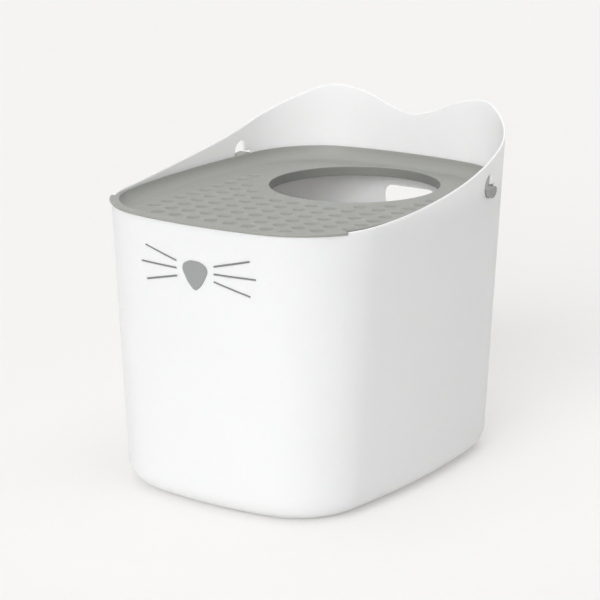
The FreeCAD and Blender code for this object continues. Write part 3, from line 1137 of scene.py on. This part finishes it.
tub_white = moulded_plastic("tub_white", (0.885, 0.885, 0.885, 1), (0.872, 0.873, 0.876, 1),
                            0.40, 0.06, 0.000012, 1.0, 1.0)
# the lid's grey darkens below its floor: painted shade in the dimples, the hole's skirt and the
# underside
lid_grey = moulded_plastic("lid_grey", (0.322, 0.326, 0.303, 1), (0.310, 0.315, 0.293, 1),
                           0.41, 0.06, 0.000022, 1.0,
                           low=(floor_height + centring.z - 0.0001, dimple_depth))
inlay_grey = moulded_plastic("inlay_grey", (0.303, 0.316, 0.311, 1), (0.290, 0.303, 0.299, 1),
                             0.52, 0.05, 0.000015, 0.5)
# the whiskers' grey is darker than the nose's: painted shade for the shadow in their narrow recesses
whisker_shaded_grey = moulded_plastic("whisker_shaded_grey", (0.215, 0.220, 0.218, 1), (0.205, 0.210, 0.208, 1),
                               0.52, 0.05, 0.000015, 0.5)


# ---------------------------------------------------------------- pieces on their bodies
def place(piece, finish, body, slot, *nodes):
    piece.data.transform(Matrix.Translation(centring))
    piece.data.materials.clear()
    piece.data.materials.append(finish)
    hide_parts(*nodes)
    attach(piece, body)


place(make_tub(), tub_white, "tub_body", "tub_plastic", "tub")
place(make_lid(lid_grey), lid_grey, "lid_body", "lid_plastic", "lid")
for node, outline in face_outlines().items():
    finish = inlay_grey if node == "nose_inlay" else whisker_shaded_grey
    place(inlay_piece(node, outline), finish, "tub_body", "inlay_plastic", node)


# ---------------------------------------------------------------- floor, light and camera
def seen_directly(finish):
    """1 for the eye and for what gloss and clear pieces mirror, 0 for light that is scattered."""
    rays = finish.node("ShaderNodeLightPath").outputs
    total = finish.value("ShaderNodeMath", {"operation": "ADD"}, i0=rays["Is Camera Ray"],
                         i1=rays["Is Glossy Ray"])
    return finish.value("ShaderNodeMath", {"operation": "ADD", "use_clamp": True}, i0=total,
                        i1=rays["Is Transmission Ray"])


def pale_floor():
    corners = [(floor_reach * x, floor_reach * y, 0) for x, y in ((-1, -1), (1, -1), (1, 1), (-1, 1))]
    mesh = bpy.data.meshes.new("floor")
    mesh.from_pydata(corners, [], [(0, 1, 2, 3)])
    floor = bpy.data.objects.new("floor", mesh)
    bpy.context.scene.collection.objects.link(floor)
    finish = Finish("pale_floor")
    finish.wire(finish.shader, Base_Color=floor_colour, Roughness=0.9, Specular_IOR_Level=0.1)
    plain = finish.node("ShaderNodeEmission", Color=backdrop_colour, Strength=1.0)
    mixed = finish.node("ShaderNodeMixShader", i0=seen_directly(finish) * backdrop_share,
                        i1=finish.shader.outputs[0], i2=plain.outputs[0])
    finish.wire(finish.tree.nodes["Material Output"], Surface=mixed.outputs[0])
    mesh.materials.append(finish.material)


def soft_sun(name, toward, spread, strength):
    """A far, wide light."""
    light = bpy.data.lights.new(name, "SUN")
    light.angle = math.radians(spread)
    light.energy = strength
    lamp = bpy.data.objects.new(name, light)
    lamp.rotation_euler = Vector(toward).to_track_quat("Z", "Y").to_euler()
    bpy.context.scene.collection.objects.link(lamp)


def studio():
    world = bpy.data.worlds.new("studio")
    world.use_nodes = True
    sky = Shading(world.node_tree)
    mixed = sky.blend(seen_directly(sky), (sky_level, sky_level, sky_level * 1.01, 1), backdrop_colour)
    sky.wire(sky.tree.nodes["Background"], Color=mixed, Strength=1.0)
    bpy.context.scene.world = world
    for name, (toward, spread, strength) in soft_lights.items():
        soft_sun(name, toward, spread, strength)


def camera():
    back = Vector((math.sin(view_azimuth) * math.cos(view_elevation),
                   -math.cos(view_azimuth) * math.cos(view_elevation), math.sin(view_elevation)))
    right = Vector((math.cos(view_azimuth), math.sin(view_azimuth), 0.0))
    data = bpy.data.cameras.new("camera")
    data.lens = view_lens
    data.sensor_width = sensor_width
    data.clip_start, data.clip_end = 0.1, 60.0
    eye = bpy.data.objects.new("camera", data)
    eye.location = (centring + right * view_shift_right + Vector((0, 0, view_height))
                    + back * view_distance)
    eye.rotation_mode = "QUATERNION"
    eye.rotation_quaternion = ((-back).to_track_quat("-Z", "Y")
                               @ Quaternion((0.0, 0.0, 1.0), view_roll))
    bpy.context.scene.collection.objects.link(eye)
    bpy.context.scene.camera = eye


pale_floor()
studio()
camera()
bpy.context.scene.view_settings.view_transform = "Standard"
